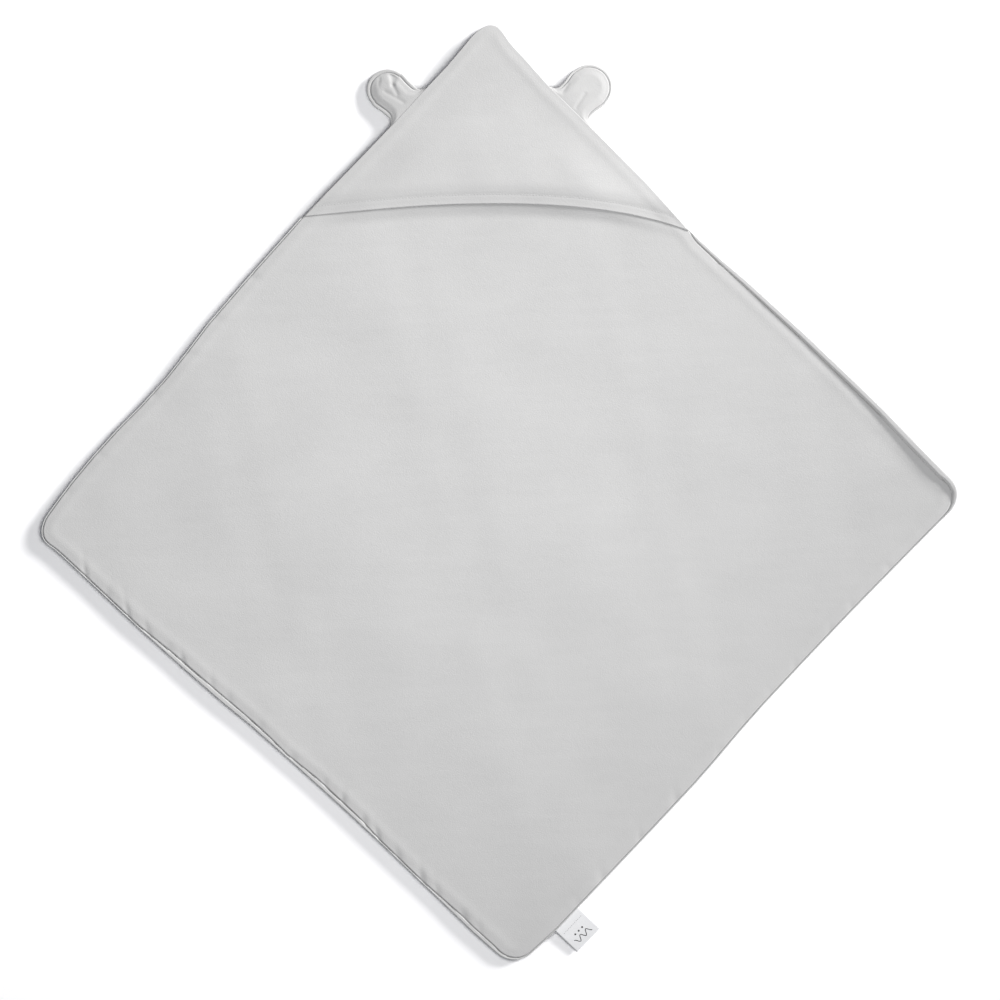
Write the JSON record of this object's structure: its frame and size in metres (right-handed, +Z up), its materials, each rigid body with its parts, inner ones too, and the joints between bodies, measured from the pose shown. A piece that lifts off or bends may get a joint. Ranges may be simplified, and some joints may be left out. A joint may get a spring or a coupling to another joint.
{
  "type": "hooded baby towel",
  "caption": "Square hooded baby towel of two towelling panels sewn and turned, with a corner hood, rounded ears and a folded ribbon label.",
  "frame": {"origin": "on the underside of the spread towel, in the middle of its length and width", "axes": "+Z up out of the spread towel, +Y towards the hood's corner, +X towards the right-hand corner"},
  "size_m": [1.101, 1.121, 0.0266],
  "materials": {
    "towelling": "short brushed pile, matt",
    "hood_towelling": "short brushed pile, matt",
    "thread": "spun polyester sewing thread",
    "satin": "woven satin ribbon, soft sheen"
  },
  "bodies": {
    "towel": {"outer_panel_centre": "towelling", "inner_panel_centre": "towelling", "seam_thread_top": "thread", "seam_thread_lower_left": "thread", "seam_thread_lower_right": "thread"},
    "side_left": {"outer_panel_left": "towelling", "inner_panel_left": "towelling", "seam_thread_left": "thread"},
    "side_right": {"outer_panel_right": "towelling", "inner_panel_right": "towelling", "seam_thread_right": "thread"},
    "foot": {"outer_panel_foot": "towelling", "inner_panel_foot": "towelling", "seam_thread_foot": "thread"},
    "hood": {"hood_lining": "hood_towelling", "hood_mouth_seam": "thread", "hood_outer": "hood_towelling", "hood_topstitch": "thread"},
    "ear_left": {"ear_left_back": "towelling", "ear_left_seam": "thread", "ear_left_front": "towelling"},
    "ear_right": {"ear_right_back": "towelling", "ear_right_seam": "thread", "ear_right_front": "towelling"},
    "label": {"label_ribbon": "satin"}
  },
  "joints": [
    {"name": "side_left_fold", "type": "hinge", "parent": "towel", "child": "side_left", "pos_m": [-0.29975, 0, 0.0055], "axis": [0, 1, 0], "range_deg": [0, 170]},
    {"name": "side_right_fold", "type": "hinge", "parent": "towel", "child": "side_right", "pos_m": [0.29975, 0, 0.0055], "axis": [0, -1, 0], "range_deg": [0, 170]},
    {"name": "foot_fold", "type": "hinge", "parent": "towel", "child": "foot", "pos_m": [0, -0.32342, 0.0055], "axis": [-1, 0, 0], "range_deg": [0, 170]},
    {"name": "hood_lift", "type": "hinge", "parent": "towel", "child": "hood", "pos_m": [0, 0.5605, 0.0057], "axis": [-1, 0, 0], "range_deg": [0, 20]},
    {"name": "ear_left_flop", "type": "hinge", "parent": "towel", "child": "ear_left", "pos_m": [-0.1007, 0.4672, 0.0055], "axis": [0.6851, 0.7285, 0], "range_deg": [0, 75]},
    {"name": "ear_right_flop", "type": "hinge", "parent": "towel", "child": "ear_right", "pos_m": [0.1007, 0.4672, 0.0055], "axis": [0.6851, -0.7285, 0], "range_deg": [0, 75]},
    {"name": "label_flip", "type": "hinge", "parent": "foot", "child": "label", "pos_m": [0.06014, -0.51376, 0.0055], "axis": [-0.716, -0.6981, 0], "range_deg": [0, 160]}
  ]
}
